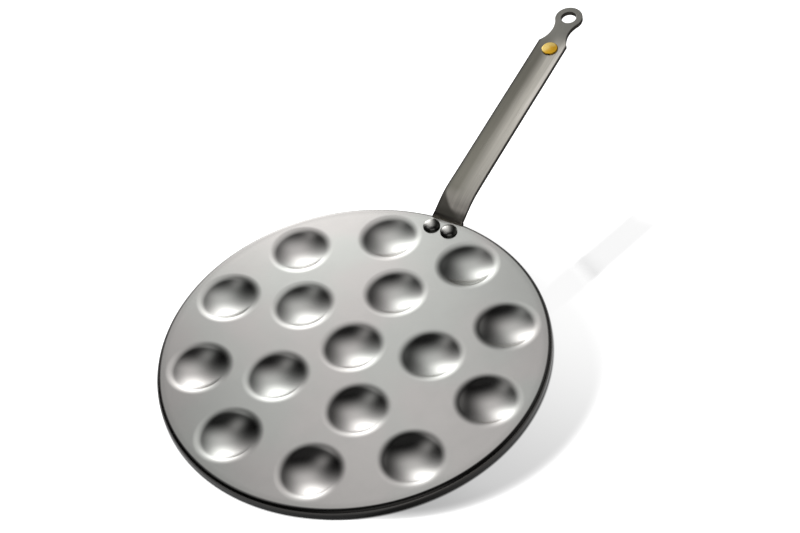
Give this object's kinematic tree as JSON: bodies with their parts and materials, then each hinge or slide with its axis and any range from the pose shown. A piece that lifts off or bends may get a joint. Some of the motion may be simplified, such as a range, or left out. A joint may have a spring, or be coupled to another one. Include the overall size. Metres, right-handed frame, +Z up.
{
  "type": "poffertjes pan",
  "caption": "Round steel poffertjes pan: a flat plate pressed with round shallow dishes, a short turned-down rim and a long riveted strip handle ending in a hanging ring.",
  "frame": {"origin": "middle of the pan on the plane that it stands on, at the flat underside of the middle dish", "axes": "+X along the handle, away from the pan; +Z up, out of the dishes"},
  "size_m": [0.4815, 0.27, 0.0503],
  "materials": {
    "plate_steel": "satin bare carbon steel, pressed and lightly ground",
    "handle_steel": "satin strip steel, brushed along its length, darker edges",
    "rivet_steel": "smooth dark steel rivet heads",
    "button_brass": "polished gold-coloured brass, bare face"
  },
  "bodies": {
    "root": {"pan_plate": "plate_steel", "handle_strip": "handle_steel", "rivet_left": "rivet_steel", "rivet_right": "rivet_steel", "handle_button": "button_brass"}
  },
  "joints": []
}
